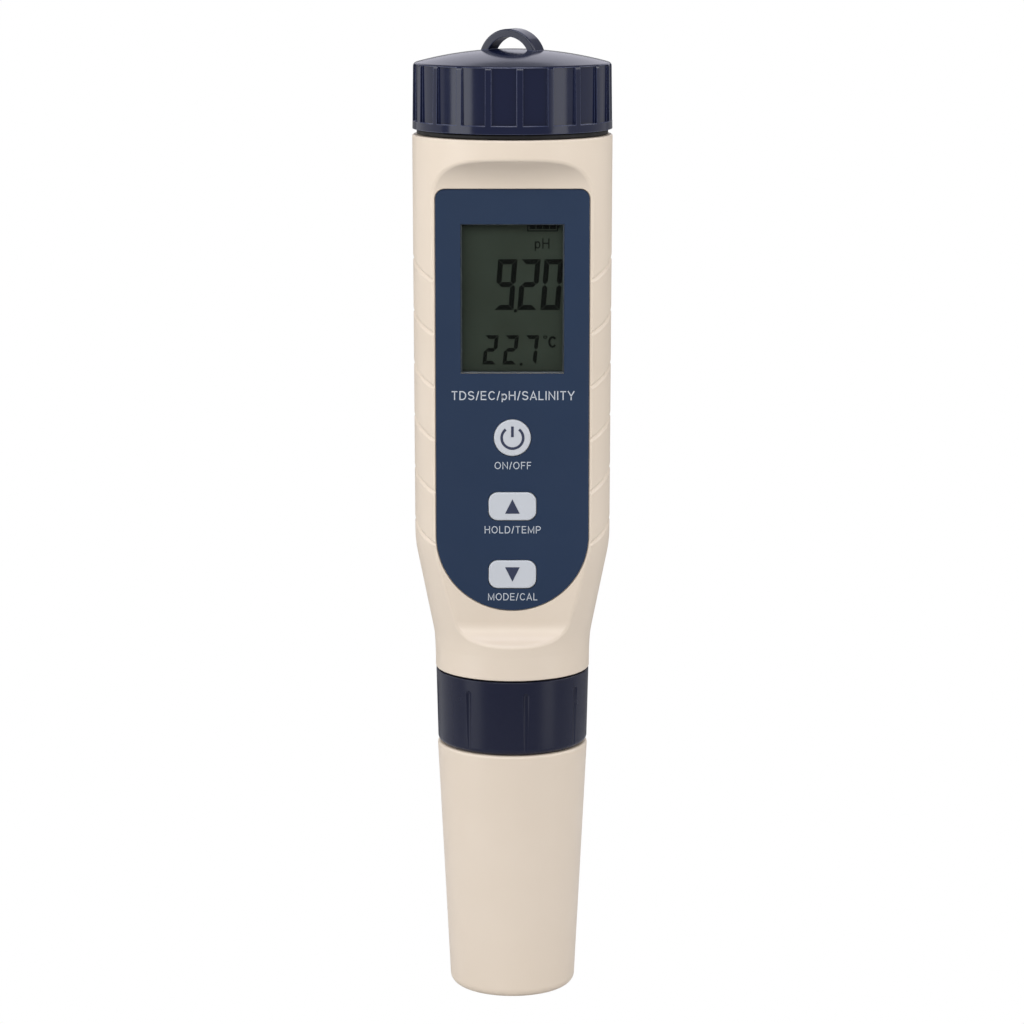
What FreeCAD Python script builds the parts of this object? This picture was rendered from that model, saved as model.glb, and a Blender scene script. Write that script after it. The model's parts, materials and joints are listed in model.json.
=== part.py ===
import FreeCAD, Part
import math
import os
import Sketcher

# Digital water tester, standing on its probe cap.
# Origin: centre of the base.  +Z runs up the body, the display faces -Y.  Millimetres.

V = FreeCAD.Vector
os.makedirs("parts", exist_ok=True)
doc = FreeCAD.newDocument("water_tester")

# ---------------------------------------------------------------- driving dimensions
sheet = doc.addObject("Spreadsheet::Sheet", "Dims")
DIMENSIONS = [
    # body tube
    ("body_radius", 19.05), ("body_top", 167.5), ("body_foot", 64.1), ("body_foot_radius", 14.93),
    ("waist_radius", 15.05), ("waist_level", 70.5), ("shoulder_radius", 18.82),
    ("shoulder_level", 89.1), ("bore_radius", 16.5),
    # flat front recess with curved ends
    ("flat_depth", 11.5), ("flat_top", 155.6), ("flat_foot", 75.0), ("top_ramp", 8.0),
    ("foot_ramp", 3.9), ("front_wall", 1.8),
    # front panel
    ("panel_half", 14.5), ("panel_top", 157.9), ("panel_arc_level", 91.85), ("panel_corner", 1.8),
    ("panel_pocket", 0.5), ("panel_thick", 0.45), ("panel_gap", 0.18),
    # display
    ("screen_half", 9.65), ("screen_top", 151.25), ("screen_foot", 123.15), ("screen_rim", 0.12),
    # keys
    ("power_level", 110.75), ("power_radius", 3.52), ("up_level", 97.53), ("down_level", 84.33),
    ("key_half", 4.55), ("key_half_height", 2.73), ("key_corner", 1.8), ("key_gap", 0.1),
    # grip grooves on the sides
    ("grip_top", 144.2), ("grip_pitch", 10.12), ("grip_deep", 0.3), ("grip_half_width", 0.62),
    ("grip_slope", 0.35),
    # screw threads, both necks
    ("thread_pitch", 3.0), ("thread_clear", 0.3),
    ("neck_radius", 16.1), ("neck_crest", 17.0), ("neck_top", 176.8), ("neck_bore", 14.8),
    ("spigot_radius", 11.4), ("spigot_crest", 12.3), ("spigot_foot", 53.7), ("spigot_bore", 9.2),
    # battery cap
    ("cap_foot", 168.6), ("cap_foot_radius", 19.0), ("cap_top_radius", 18.85),
    ("dome_apex", 183.5), ("cap_ceiling", 179.6), ("flute_foot", 170.1), ("flute_top", 180.75),
    ("flute_floor", 18.45), ("flute_count", 20), ("flute_turn", -4.8), ("rib_half", 0.58),
    ("gasket_radius", 18.2),
    # lanyard eye
    ("eye_level", 181.27), ("eye_radius", 6.03), ("eye_wall", 1.45), ("eye_width", 4.4),
    ("eye_turn", -25.0),
    # collar
    ("collar_foot", 49.3), ("collar_foot_radius", 14.5), ("collar_top_radius", 14.85),
    ("notch_count", 8), ("notch_turn", 10.2),
    # probe cap
    ("probe_cap_top_radius", 14.62), ("probe_cap_base_radius", 12.14), ("probe_cap_bore", 11.3),
    # electrode
    ("electrode_flange", 11.3), ("electrode_plug", 10.7), ("electrode_stem", 8.9),
    ("probe_radius", 8.6), ("probe_foot", 9.0), ("sensor_deck", 25.0),
    # electronics and cells
    ("board_front", -4.4), ("board_thick", 1.2), ("cell_radius", 5.8), ("cell_height", 5.4),
    ("cell_floor", 157.2),
]


class Dim:
    """A length with the spreadsheet expression that drives it."""

    def __init__(self, value, text):
        self.value = value
        self.text = text

    def joined(self, other, sign, value):
        text = other.text if isinstance(other, Dim) else repr(float(other))
        return Dim(value, "(%s %s %s)" % (self.text, sign, text))

    def __add__(self, other):
        return self.joined(other, "+", self.value + number(other))

    def __sub__(self, other):
        return self.joined(other, "-", self.value - number(other))

    def __mul__(self, other):
        return self.joined(other, "*", self.value * number(other))

    def __radd__(self, other):
        return self + other

    def __rsub__(self, other):
        return -self + other

    def __neg__(self):
        return Dim(-self.value, "(-1 * %s)" % self.text)


class Dims:
    """The spreadsheet's cells, by alias."""


def number(quantity):
    return quantity.value if isinstance(quantity, Dim) else float(quantity)


D = Dims()
for row, (alias, value) in enumerate(DIMENSIONS, 1):
    sheet.set("A%d" % row, alias)
    sheet.set("B%d" % row, repr(value))
    sheet.setAlias("B%d" % row, alias)
    setattr(D, alias, Dim(value, "Dims." + alias))
doc.recompute()


# ---------------------------------------------------------------- modelling helpers
def new_body(label):
    body = doc.addObject("PartDesign::Body", label)
    body.Label = label
    return body


def origin_feature(body, role):
    return [item for item in body.Origin.OriginFeatures if item.Role == role][0]


def new_sketch(body, plane, offset=0.0, turn=0.0):
    """Sketch on an origin plane, moved along its normal and turned about the world Z axis."""
    sketch = body.newObject("Sketcher::SketchObject", body.Label + "_sketch")
    sketch.AttachmentSupport = (origin_feature(body, plane + "_Plane"), [""])
    sketch.MapMode = "FlatFace"
    spin_axis = V(0, 0, 1) if plane == "XY" else V(0, 1, 0)
    rotation = FreeCAD.Rotation(spin_axis, number(turn))
    sketch.AttachmentOffset = FreeCAD.Placement(V(0, 0, number(offset)), rotation)
    if isinstance(offset, Dim):
        sketch.setExpression("AttachmentOffset.Base.z", offset.text)
    return sketch


def drive(sketch, index, quantity):
    if isinstance(quantity, Dim):
        sketch.setExpression("Constraints[%d]" % index, quantity.text)


def pin_point(sketch, edge, end, x, y):
    """Fix one sketch point at driven coordinates."""
    across = Sketcher.Constraint("DistanceX", -1, 1, edge, end, number(x))
    drive(sketch, sketch.addConstraint(across), x)
    upward = Sketcher.Constraint("DistanceY", -1, 1, edge, end, number(y))
    drive(sketch, sketch.addConstraint(upward), y)


def short_arc(centre, start, finish):
    """Anticlockwise arc covering the shorter way between two points."""
    first = math.atan2(start.y - centre.y, start.x - centre.x)
    last = math.atan2(finish.y - centre.y, finish.x - centre.x)
    if (last - first) % (2 * math.pi) > math.pi:
        first, last = last, first
    circle = Part.Circle(centre, V(0, 0, 1), (start - centre).Length)
    return Part.ArcOfCircle(circle, first, first + (last - first) % (2 * math.pi))


def add_outline(sketch, corners):
    """Closed outline.  A corner (x, y, centre_x, centre_y) is reached by an arc round the centre."""
    first = sketch.GeometryCount
    count = len(corners)
    for place, corner in enumerate(corners):
        following = corners[(place + 1) % count]
        start = V(number(corner[0]), number(corner[1]), 0)
        finish = V(number(following[0]), number(following[1]), 0)
        if len(following) == 4:
            centre = V(number(following[2]), number(following[3]), 0)
            sketch.addGeometry(short_arc(centre, start, finish), False)
        else:
            sketch.addGeometry(Part.LineSegment(start, finish), False)
    for place, corner in enumerate(corners):
        shape = sketch.Geometry[first + place]
        start = V(number(corner[0]), number(corner[1]), 0)
        end = 1 if (shape.StartPoint - start).Length < 1e-6 else 2
        pin_point(sketch, first + place, end, corner[0], corner[1])
        before = first + (place - 1) % count
        shape = sketch.Geometry[before]
        end_before = 1 if (shape.StartPoint - start).Length < 1e-6 else 2
        join = Sketcher.Constraint("Coincident", before, end_before, first + place, end)
        sketch.addConstraint(join)
        if len(corner) == 4:
            level = Sketcher.Constraint("DistanceY", -1, 1, before, 3, number(corner[3]))
            drive(sketch, sketch.addConstraint(level), corner[3])


def add_circle(sketch, x, y, radius):
    circle = Part.Circle(V(number(x), number(y), 0), V(0, 0, 1), number(radius))
    edge = sketch.addGeometry(circle, False)
    size = Sketcher.Constraint("Radius", edge, number(radius))
    drive(sketch, sketch.addConstraint(size), radius)
    pin_point(sketch, edge, 3, x, y)


def blend(before, corner, after, radius):
    """Two outline corners that round one corner with a tangent arc."""
    here = V(number(corner[0]), number(corner[1]), 0)
    back = (V(number(before[0]), number(before[1]), 0) - here).normalize()
    ahead = (V(number(after[0]), number(after[1]), 0) - here).normalize()
    half = back.getAngle(ahead) / 2
    start = here + back * (radius / math.tan(half))
    finish = here + ahead * (radius / math.tan(half))
    centre = here + (back + ahead).normalize() * (radius / math.sin(half))
    return [(start.x, start.y), (finish.x, finish.y, centre.x, centre.y)]


def box_corners(left, low, right, high):
    return [(left, low), (right, low), (right, high), (left, high)]


def round_box(left, low, right, high, radius):
    """Outline of a rectangle with round corners."""
    return [(left + radius, low, left + radius, low + radius),
            (right - radius, low),
            (right, low + radius, right - radius, low + radius),
            (right, high - radius),
            (right - radius, high, right - radius, high - radius),
            (left + radius, high),
            (left, high - radius, left + radius, high - radius),
            (left, low + radius)]


def feature(body, kind, sketch, length=None, both_ways=False):
    item = body.newObject("PartDesign::" + kind, body.Label + "_" + kind.lower())
    item.Profile = (sketch, [""])
    if length is not None:
        item.Length = number(length)
        if isinstance(length, Dim):
            item.setExpression("Length", length.text)
    if both_ways:
        item.SideType = "Symmetric"
    sketch.Visibility = False
    return item


def pad(body, sketch, length, both_ways=False):
    return feature(body, "Pad", sketch, length, both_ways)


def pocket(body, sketch, length, both_ways=False):
    return feature(body, "Pocket", sketch, length, both_ways)


def spin(body, kind, sketch, axis="V_Axis"):
    item = feature(body, kind, sketch)
    item.ReferenceAxis = (sketch, [axis])
    item.Angle = 360
    return item


def upright_axis(sketch, x, low, high):
    """Construction line used as the sketch's own turning axis."""
    line = sketch.addGeometry(Part.LineSegment(V(x, low, 0), V(x, high, 0)), True)
    pin_point(sketch, line, 1, x, low)
    pin_point(sketch, line, 2, x, high)


def revolve(body, corners):
    """Solid of revolution about Z from a half profile (radius, height)."""
    sketch = new_sketch(body, "YZ")
    add_outline(sketch, corners)
    return spin(body, "Revolution", sketch)


def polar(body, item, count):
    pattern = body.newObject("PartDesign::PolarPattern", body.Label + "_pattern")
    pattern.Originals = [item]
    pattern.Axis = (origin_feature(body, "Z_Axis"), [""])
    pattern.Angle = 360
    pattern.Occurrences = int(number(count))
    if isinstance(count, Dim):
        pattern.setExpression("Occurrences", count.text)
    body.Tip = pattern
    return pattern


def soften(body, kind, size, wanted):
    """Fillet or chamfer on every edge that the test accepts."""
    doc.recompute()
    base = body.Tip
    names = ["Edge%d" % place for place, edge in enumerate(base.Shape.Edges, 1)
             if not edge.Degenerated and wanted(edge)]
    item = body.newObject("PartDesign::" + kind, body.Label + "_" + kind.lower())
    item.Base = (base, names)
    if kind == "Fillet":
        item.Radius = number(size)
    else:
        item.Size = number(size)
    if isinstance(size, Dim):
        item.setExpression("Radius" if kind == "Fillet" else "Size", size.text)
    return item


def ring_at(level, radius, slack=0.02):
    """Test for a circular edge about Z at the given height and radius."""
    def wanted(edge):
        if not isinstance(edge.Curve, Part.Circle):
            return False
        on_axis = math.hypot(edge.Curve.Center.x, edge.Curve.Center.y) < slack
        same_size = abs(edge.Curve.Radius - number(radius)) < slack
        return on_axis and same_size and abs(edge.Curve.Center.z - number(level)) < slack
    return wanted


def thread(body, inner, outer, level, height, outward):
    """Helical ridge; the buried side is thicker than the crest."""
    sketch = new_sketch(body, "XZ")
    root, crest = (inner, outer) if outward else (outer, inner)
    add_outline(sketch, [(root, level - 0.75), (crest, level - 0.35),
                         (crest, level + 0.35), (root, level + 0.75)])
    helix = feature(body, "AdditiveHelix", sketch)
    helix.ReferenceAxis = (origin_feature(body, "Z_Axis"), [""])
    helix.Mode = 0
    helix.Pitch = D.thread_pitch.value
    helix.setExpression("Pitch", D.thread_pitch.text)
    helix.Height = height
    helix.Angle = 0
    return helix


def vertical_cylinder(body, x, y, radius, low, high):
    sketch = new_sketch(body, "XY", low)
    add_circle(sketch, x, y, radius)
    return pad(body, sketch, high - low)


def vertical_hole(body, x, y, radius, low, high):
    sketch = new_sketch(body, "XY", high)
    add_circle(sketch, x, y, radius)
    return pocket(body, sketch, high - low)


def front_plate(body, corners, front, thick):
    """Plate seen from the front: outline in X and Z, from y = front inwards."""
    sketch = new_sketch(body, "XZ", -front)
    add_outline(sketch, corners)
    plate = pad(body, sketch, thick)
    plate.Reversed = True
    return plate


def front_cut(body, corners, front, deep):
    sketch = new_sketch(body, "XZ", -front)
    add_outline(sketch, corners)
    return pocket(body, sketch, deep)


def front_rod(body, x, z, radius, front, deep):
    """Round boss along Y."""
    sketch = new_sketch(body, "XZ", -front)
    add_circle(sketch, x, z, radius)
    rod = pad(body, sketch, deep)
    rod.Reversed = True
    return rod


def front_hole(body, x, z, radius, front, deep):
    sketch = new_sketch(body, "XZ", -front)
    add_circle(sketch, x, z, radius)
    return pocket(body, sketch, deep)


def bound_primitive(kind, label, **sizes):
    """Part primitive whose sizes follow the spreadsheet."""
    item = doc.addObject("Part::" + kind, label)
    for name, size in sizes.items():
        setattr(item, name, number(size))
        if isinstance(size, Dim):
            item.setExpression(name, size.text)
    return item


def place(item, x, y, z, axis=V(0, 0, 1), angle=0.0):
    item.Placement = FreeCAD.Placement(V(number(x), number(y), number(z)),
                                       FreeCAD.Rotation(axis, angle))
    for name, size in (("x", x), ("y", y), ("z", z)):
        if isinstance(size, Dim):
            item.setExpression("Placement.Base." + name, size.text)
    return item


NODES = []


def node(item, label):
    item.Label = label
    NODES.append(item)
    return item


# ---------------------------------------------------------------- body shell
flat = -D.flat_depth
wall_back = D.front_wall - D.flat_depth
shell = new_body("shell_solid")
foot_edge = (D.body_foot_radius, D.body_foot)
waist = (D.waist_radius, D.waist_level)
shoulder = (D.shoulder_radius, D.shoulder_level)
top_edge = (D.body_radius, D.body_top)
neck_foot = (D.neck_radius, D.body_top)
revolve(shell, [(0, D.spigot_foot), (D.spigot_radius, D.spigot_foot),
                (D.spigot_radius, D.body_foot)]
        + blend((D.spigot_radius, D.body_foot), foot_edge, waist, 0.3)
        + blend(foot_edge, waist, shoulder, 20.0)
        + blend(waist, shoulder, top_edge, 22.0)
        + blend(shoulder, top_edge, neck_foot, 0.35)
        + [neck_foot, (D.neck_radius, D.neck_top), (0, D.neck_top)])

side_profile = new_sketch(shell, "YZ")
add_outline(side_profile, [
    (flat, D.flat_foot, flat - D.foot_ramp, D.flat_foot),
    (flat, D.flat_top),
    (flat - D.top_ramp, D.flat_top + D.top_ramp, flat - D.top_ramp, D.flat_top),
    (flat - 20, D.flat_top + D.top_ramp),
    (flat - 20, D.flat_foot - D.foot_ramp),
    (flat - D.foot_ramp, D.flat_foot - D.foot_ramp)])
pocket(shell, side_profile, 60, both_ways=True)


def recess_rim(edge):
    """Edges where the recess meets the round body."""
    middle = edge.valueAt((edge.FirstParameter + edge.LastParameter) / 2)
    if middle.y > flat.value + 0.01 or middle.z < 68 or middle.z > 166:
        return False
    return math.hypot(middle.x, middle.y) > 14.9


soften(shell, "Fillet", 0.8, recess_rim)

# round inside, kept clear of the front wall
core = new_body("shell_core")
revolve(core, [(0, D.spigot_foot - 1), (D.spigot_bore, D.spigot_foot - 1), (D.spigot_bore, 67),
               (12.9, 67), (12.9, 71), (D.bore_radius, 91), (D.bore_radius, 163),
               (D.neck_bore, 165), (D.neck_bore, D.neck_top + 1), (0, D.neck_top + 1)])
front_cut(core, box_corners(-20.0, 67, 20.0, 165), -20.0, 20 + wall_back)
hollow = shell.newObject("PartDesign::Boolean", "shell_hollow")
hollow.Type = "Cut"
hollow.setObjects([core])

# screw posts for the board, standing on the front wall
POSTS = [(-9.8, 117.0), (9.8, 117.0), (-8.2, 76.6), (8.2, 76.6)]
for across, level in POSTS:
    front_rod(shell, across, level, 1.7, wall_back - 0.4, D.board_front - wall_back + 0.35)
    front_hole(shell, across, level, 0.86, wall_back + 0.6, 20)


def panel_outline(grow):
    """Front panel outline: square shoulders with small corners, half-round foot."""
    half = D.panel_half + grow
    top = D.panel_top + grow
    corner = D.panel_corner + grow
    level = D.panel_arc_level
    return [(0, level - half, 0, level), (half, level, 0, level),
            (half, top - corner), (half - corner, top, half - corner, top - corner),
            (corner - half, top), (-half, top - corner, corner - half, top - corner),
            (-half, level)]


def screen_outline(grow):
    return box_corners(-D.screen_half - grow, D.screen_foot - grow,
                       D.screen_half + grow, D.screen_top + grow)


def key_outline(level, grow):
    return round_box(-D.key_half - grow, level - D.key_half_height - grow,
                     D.key_half + grow, level + D.key_half_height + grow, D.key_corner)


def front_openings(body, front, deep, gap):
    """Window and key cut-outs through a front wall."""
    front_cut(body, screen_outline(0.1), front, deep)
    front_hole(body, 0, D.power_level, D.power_radius + gap, front, deep)
    front_cut(body, key_outline(D.up_level, gap), front, deep)
    front_cut(body, key_outline(D.down_level, gap), front, deep)


pocket_floor = flat + D.panel_pocket
front_cut(shell, panel_outline(D.panel_gap), flat - 1.0, 1.0 + D.panel_pocket)
front_openings(shell, pocket_floor - 0.2, D.front_wall, D.key_gap)
thread(shell, D.neck_radius - 0.3, D.neck_crest, 169.6, 5.0, True)
thread(shell, D.spigot_radius - 0.3, D.spigot_crest, 55.2, 6.0, True)


def grip_section(radius, across, level, deep):
    """Triangle across one grip groove, tip inwards, in the radial plane."""
    bearing = math.asin(across / radius)

    def at(reach, rise):
        return V(reach * math.cos(bearing), reach * math.sin(bearing), level + rise)

    reach_out = 0.3
    half = D.grip_half_width.value * (deep + reach_out) / D.grip_deep.value
    tip = at(radius - deep, 0)
    return Part.makePolygon([tip, at(radius + reach_out, half), at(radius + reach_out, -half), tip])


def grip_cutter(top):
    """One arched grip groove: highest at the side, lower towards front and back."""
    rise = (top - D.shoulder_level.value) / (D.body_top.value - D.shoulder_level.value)
    radius = D.shoulder_radius.value + rise * (D.body_radius.value - D.shoulder_radius.value)
    arch = 2.0
    sections = []
    for across in (-12.6, -10.5, -8, -5.5, -3, -1, 1, 3, 5.5, 8, 10.5, 12.6):
        level = top - D.grip_slope.value * (math.hypot(across, arch) - arch)
        fade = min(1.0, (14.2 - across) / 5.0)
        sections.append(grip_section(radius, across, level, D.grip_deep.value * fade))
    return Part.makeLoft(sections, True, False)


cutters = []
for step in range(6):
    cutter = grip_cutter(D.grip_top.value - step * D.grip_pitch.value)
    cutters.append(cutter)
    cutters.append(cutter.mirror(V(0, 0, 0), V(1, 0, 0)))
grips = doc.addObject("Part::Feature", "grip_cutters")
grips.Shape = Part.makeCompound(cutters)
body_shell = doc.addObject("Part::Cut", "body_shell")
body_shell.Base = shell
body_shell.Tool = grips
node(body_shell, "body_shell")

# ---------------------------------------------------------------- front panel and display
panel_front = pocket_floor - D.panel_thick
panel = new_body("face_panel")
front_plate(panel, panel_outline(0.0), panel_front, D.panel_thick)
front_openings(panel, panel_front - 0.2, 1.0, D.key_gap)
node(panel, "face_panel")

window = new_body("display_window")
window_front = panel_front + 0.04
front_plate(window, screen_outline(0.0), window_front, 1.0)


def front_edge(front):
    """Test for an edge lying in the plane y = front."""
    def wanted(edge):
        return all(abs(vertex.Y - number(front)) < 0.01 for vertex in edge.Vertexes)
    return wanted


soften(window, "Chamfer", 0.2, front_edge(window_front))
node(window, "display_window")

frame_half = 11.7
frame_top = D.screen_top + 2.65
frame_foot = D.screen_foot - 2.65
frame = new_body("lcd_frame")
front_plate(frame, box_corners(-frame_half, frame_foot, frame_half, frame_top), -9.6, 5.15)
front_plate(frame, screen_outline(0.0), -10.4, 0.9)
front_cut(frame, screen_outline(-D.screen_rim), -10.5, 8.0)
front_cut(frame, box_corners(-10.6, frame_foot + 1.1, 10.6, frame_top - 1.1), -9.0, 6.0)
node(frame, "lcd_frame")

glass = new_body("lcd_glass")
front_plate(glass, box_corners(-10.5, frame_foot + 1.2, 10.5, frame_top - 1.2), -8.95, 1.6)
node(glass, "lcd_glass")

backlight = new_body("backlight")
front_plate(backlight, box_corners(-10.5, frame_foot + 3.6, 10.5, frame_top - 1.2), -7.3, 1.9)
node(backlight, "backlight")

zebra = new_body("zebra_strips")
front_plate(zebra, box_corners(-9.5, frame_foot + 1.3, 9.5, frame_foot + 3.3), -7.3, 2.85)
node(zebra, "zebra_strips")

# ---------------------------------------------------------------- keys and their switches
key_front = panel_front - 0.1
flange_front = wall_back + 0.1


def add_key(label, level, head, flange):
    """Key cap: head through the wall, retaining flange behind it, plunger on the switch."""
    key = new_body(label)
    head(key, key_front, flange_front - key_front + 0.1)
    flange(key, flange_front, 0.6)
    front_rod(key, 0, level, 1.5, flange_front + 0.5, 0.45)
    soften(key, "Fillet", 0.3, front_edge(key_front))
    node(key, label)


def round_head(level, radius):
    def build(body, front, deep):
        front_rod(body, 0, level, radius, front, deep)
    return build


def oblong_head(level, grow):
    def build(body, front, deep):
        front_plate(body, key_outline(level, grow), front, deep)
    return build


add_key("key_power", D.power_level, round_head(D.power_level, D.power_radius),
        round_head(D.power_level, D.power_radius + 0.7))
add_key("key_up", D.up_level, oblong_head(D.up_level, 0.0), oblong_head(D.up_level, 0.7))
add_key("key_down", D.down_level, oblong_head(D.down_level, 0.0), oblong_head(D.down_level, 0.7))

KEYS = [("power", D.power_level), ("up", D.up_level), ("down", D.down_level)]
housings = new_body("switch_housings")
housings.AllowCompound = True
for name, level in KEYS:
    front_plate(housings, box_corners(-3.0, level - 3.0, 3.0, level + 3.0), -7.95, 3.5)
    front_hole(housings, 0, level, 1.75, -8.0, 1.8)
node(housings, "switch_housings")
for name, level in KEYS:
    stem = new_body("switch_stem_" + name)
    front_rod(stem, 0, level, 1.65, -8.6, 1.7)
    node(stem, "switch_stem_" + name)

# ---------------------------------------------------------------- circuit board
board_back = D.board_front + D.board_thick
board = new_body("main_pcb")
front_plate(board, box_corners(-12.0, 73.0, 12.0, 153.5), D.board_front, D.board_thick)
for across, level in POSTS:
    front_hole(board, across, level, 1.1, D.board_front - 0.5, 3.0)
node(board, "main_pcb")

screws = new_body("pcb_screws")
screws.AllowCompound = True
for across, level in POSTS:
    front_rod(screws, across, level, 0.8, -8.6, board_back + 9.0)
    front_rod(screws, across, level, 1.9, board_back + 0.02, 1.2)
    front_hole(screws, across, level, 0.55, board_back + 0.6, 2.0)
node(screws, "pcb_screws")

chip = new_body("controller_chip")
front_plate(chip, box_corners(-3.5, 98.0, 3.5, 105.0), board_back + 0.05, 1.1)
node(chip, "controller_chip")

# across, level, width, height and thickness of each
PARTS_ON_BOARD = [
    (-8.0, 108.0, 3.2, 1.6, 0.7), (-8.0, 104.0, 3.2, 1.6, 0.7), (8.0, 108.0, 3.2, 1.6, 0.7),
    (8.0, 96.0, 2.0, 1.25, 0.6), (-7.5, 92.0, 2.0, 1.25, 0.6), (0.0, 88.0, 5.0, 4.0, 1.6),
    (6.5, 84.0, 5.0, 4.4, 1.5), (-6.5, 82.0, 3.0, 2.6, 1.2), (0.0, 118.0, 8.0, 3.0, 2.6)]
small = new_body("small_components")
small.AllowCompound = True
for across, level, wide, high, thick in PARTS_ON_BOARD:
    outline = box_corners(across - wide / 2, level - high / 2, across + wide / 2, level + high / 2)
    front_plate(small, outline, board_back + 0.02, thick)
node(small, "small_components")

# ---------------------------------------------------------------- cells and their holder
holder = new_body("battery_holder")
revolve(holder, [(2.0, 154.6), (7.2, 154.6), (7.2, D.neck_top + 0.1), (15.8, D.neck_top + 0.1),
                 (15.8, 177.7), (6.0, 177.7), (6.0, 155.6), (2.0, 155.6)])
slot = new_sketch(holder, "XY", 178.0)
add_outline(slot, box_corners(-1.8, 7.7, 1.8, 8.6))
pocket(holder, slot, 3.0)
node(holder, "battery_holder")

strip = new_body("battery_strip")
bend = new_sketch(strip, "YZ")
add_outline(bend, [(8.0, 150.3), (8.0, 178.78), (8.3, 178.78), (8.3, 150.0),
                   (board_back + 0.05, 150.0), (board_back + 0.05, 150.3)])
pad(strip, bend, 3.0, both_ways=True)
node(strip, "battery_strip")

spring = new_body("battery_spring")
wire = new_sketch(spring, "XZ")
add_circle(wire, 1.5, 155.95, 0.28)
coil = feature(spring, "AdditiveHelix", wire)
coil.ReferenceAxis = (origin_feature(spring, "Z_Axis"), [""])
coil.Mode = 0
coil.Pitch = 0.4
coil.Height = 0.9
coil.Angle = 70
vertical_cylinder(spring, 1.5, 0, 0.3, 152.0, 156.0)
front_plate(spring, box_corners(1.3, 152.05, 1.7, 152.45), board_back + 0.05, 3.2)
node(spring, "battery_spring")

for place_number in range(4):
    label = "button_cell_%d" % (place_number + 1)
    cell = new_body(label)
    low = D.cell_floor + D.cell_height * place_number
    revolve(cell, [(0, low), (D.cell_radius - 0.3, low), (D.cell_radius, low + 0.3),
                   (D.cell_radius, low + 4.7), (D.cell_radius - 0.5, low + 5.1),
                   (4.9, low + 5.1), (4.7, low + 5.35), (0, low + 5.35)])
    node(cell, label)

# ---------------------------------------------------------------- battery cap
cap = new_body("battery_cap")
dome_radius = 70.0
dome_centre = D.dome_apex - dome_radius
cap_round = 0.8
round_reach = D.cap_top_radius - cap_round
round_rise = math.sqrt((dome_radius - cap_round) ** 2 - number(round_reach) ** 2)
round_level = dome_centre + round_rise
share = cap_round / (dome_radius - cap_round)
cap_bore = D.neck_crest + D.thread_clear
revolve(cap, [(cap_bore, D.cap_foot), (D.cap_foot_radius, D.cap_foot),
              (D.cap_top_radius, round_level),
              (round_reach * (1 + share), round_level + round_rise * share,
               round_reach, round_level),
              (0, D.dome_apex, 0, dome_centre),
              (0, D.cap_ceiling), (9.6, D.cap_ceiling), (9.6, 178.55), (8.7, 178.55),
              (8.7, 178.1), (11.0, 178.1), (11.0, D.cap_ceiling), (15.6, D.cap_ceiling),
              (cap_bore, D.cap_ceiling - 1.7)])
flute = new_sketch(cap, "XY", D.flute_top, D.flute_turn)
half_turn = math.pi / D.flute_count.value - math.asin(D.rib_half.value / D.cap_top_radius.value)
flute_sine = math.sin(half_turn)
flute_cosine = math.cos(half_turn)
outside = D.flute_floor + 1.4
add_outline(flute, [(-D.flute_floor * flute_sine, D.flute_floor * flute_cosine, 0, 0),
                    (-outside * flute_sine, outside * flute_cosine),
                    (outside * flute_sine, outside * flute_cosine),
                    (D.flute_floor * flute_sine, D.flute_floor * flute_cosine)])
first_flute = pocket(cap, flute, D.flute_top - D.flute_foot)
polar(cap, first_flute, D.flute_count)
eye = new_sketch(cap, "XZ", 0.0, D.eye_turn)
eye_outer = D.eye_radius
eye_inner = D.eye_radius - D.eye_wall
eye_level = D.eye_level
eye_root = eye_level - 1
add_outline(eye, [(eye_outer, eye_root), (eye_outer, eye_level),
                  (0, eye_level + eye_outer, 0, eye_level), (-eye_outer, eye_level, 0, eye_level),
                  (-eye_outer, eye_root), (-eye_inner, eye_root), (-eye_inner, eye_level),
                  (0, eye_level + eye_inner, 0, eye_level), (eye_inner, eye_level, 0, eye_level),
                  (eye_inner, eye_root)])
pad(cap, eye, D.eye_width, both_ways=True)


def eye_rim(edge):
    """Outer edges of the lanyard eye."""
    if not isinstance(edge.Curve, Part.Circle):
        return False
    upright = abs(edge.Curve.Axis.z) < 0.01
    return upright and abs(edge.Curve.Radius - D.eye_radius.value) < 0.02


soften(cap, "Fillet", 0.3, eye_rim)
thread(cap, D.neck_radius + D.thread_clear, cap_bore + 0.3, 171.1, 5.0, False)
node(cap, "battery_cap")

contact = new_body("cap_contact")
revolve(contact, [(0, 178.85), (9.3, 178.85), (9.3, 179.25), (0, 179.25)])
node(contact, "cap_contact")

gasket = new_body("cap_gasket")
revolve(gasket, [(D.neck_radius + 0.05, D.body_top + 0.03), (D.gasket_radius, D.body_top + 0.03),
                 (D.gasket_radius, D.cap_foot - 0.05), (D.neck_radius + 0.05, D.cap_foot - 0.05)])
soften(gasket, "Fillet", 0.3, ring_at(D.body_top + 0.03, D.gasket_radius))
soften(gasket, "Fillet", 0.3, ring_at(D.cap_foot - 0.05, D.gasket_radius))
node(gasket, "cap_gasket")

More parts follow.
